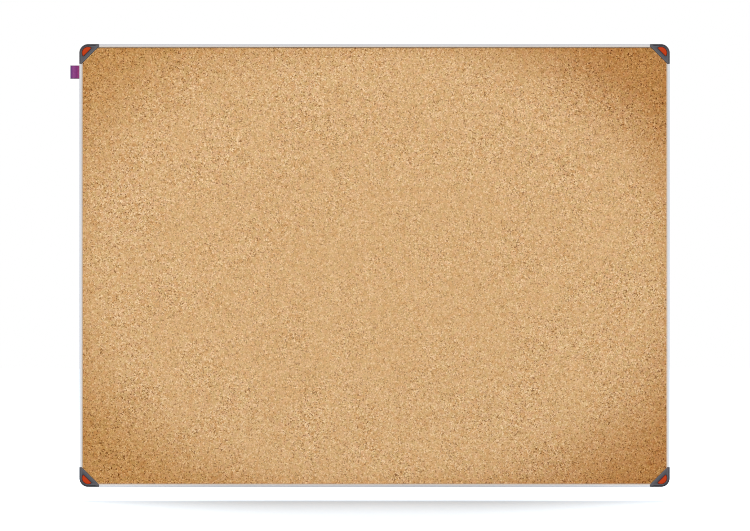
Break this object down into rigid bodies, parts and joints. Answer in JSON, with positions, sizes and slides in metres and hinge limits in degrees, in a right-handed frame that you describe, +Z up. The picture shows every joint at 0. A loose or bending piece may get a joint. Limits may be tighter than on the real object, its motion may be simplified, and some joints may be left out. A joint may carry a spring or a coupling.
{
  "type": "framed cork notice board",
  "caption": "Wall-hung cork pin board in a slim aluminium frame, with moulded corners whose snap-in covers hide the wall screws, and a folded fabric tag on one side.",
  "frame": {"origin": "middle of the board's outline in the plane of the wall, which the rear faces of the four corner mouldings touch", "axes": "+X to the right of a person looking at the cork, +Y towards the wall, +Z up"},
  "size_m": [0.813, 0.0177, 0.6],
  "materials": {
    "cork": "matte",
    "softboard": "matte",
    "kraft_paper": "matte",
    "aluminium": "satin",
    "corner_plastic": "satin",
    "cover_plastic": "gloss",
    "screw_steel": "satin",
    "tag_fabric": "matte"
  },
  "bodies": {
    "board": {"cork_sheet": "cork", "softboard_core": "softboard", "backing_sheet": "kraft_paper", "rail_left": "aluminium", "rail_top": "aluminium", "rail_right": "aluminium", "rail_bottom": "aluminium", "corner_top_left": "corner_plastic", "corner_top_right": "corner_plastic", "corner_bottom_right": "corner_plastic", "corner_bottom_left": "corner_plastic", "locking_screw_top_left_a": "screw_steel", "locking_screw_top_left_b": "screw_steel", "locking_screw_top_right_a": "screw_steel", "locking_screw_top_right_b": "screw_steel", "locking_screw_bottom_right_a": "screw_steel", "locking_screw_bottom_right_b": "screw_steel", "locking_screw_bottom_left_a": "screw_steel", "locking_screw_bottom_left_b": "screw_steel", "fabric_tag": "tag_fabric"},
    "cover_top_left": {"screw_cover_top_left": "cover_plastic"},
    "cover_top_right": {"screw_cover_top_right": "cover_plastic"},
    "cover_bottom_right": {"screw_cover_bottom_right": "cover_plastic"},
    "cover_bottom_left": {"screw_cover_bottom_left": "cover_plastic"}
  },
  "joints": [
    {"name": "cover_top_left_pull", "type": "slide", "parent": "board", "child": "cover_top_left", "axis": [0, -1, 0], "range_m": [0, 0.01]},
    {"name": "cover_top_right_pull", "type": "slide", "parent": "board", "child": "cover_top_right", "axis": [0, -1, 0], "range_m": [0, 0.01]},
    {"name": "cover_bottom_right_pull", "type": "slide", "parent": "board", "child": "cover_bottom_right", "axis": [0, -1, 0], "range_m": [0, 0.01]},
    {"name": "cover_bottom_left_pull", "type": "slide", "parent": "board", "child": "cover_bottom_left", "axis": [0, -1, 0], "range_m": [0, 0.01]}
  ]
}
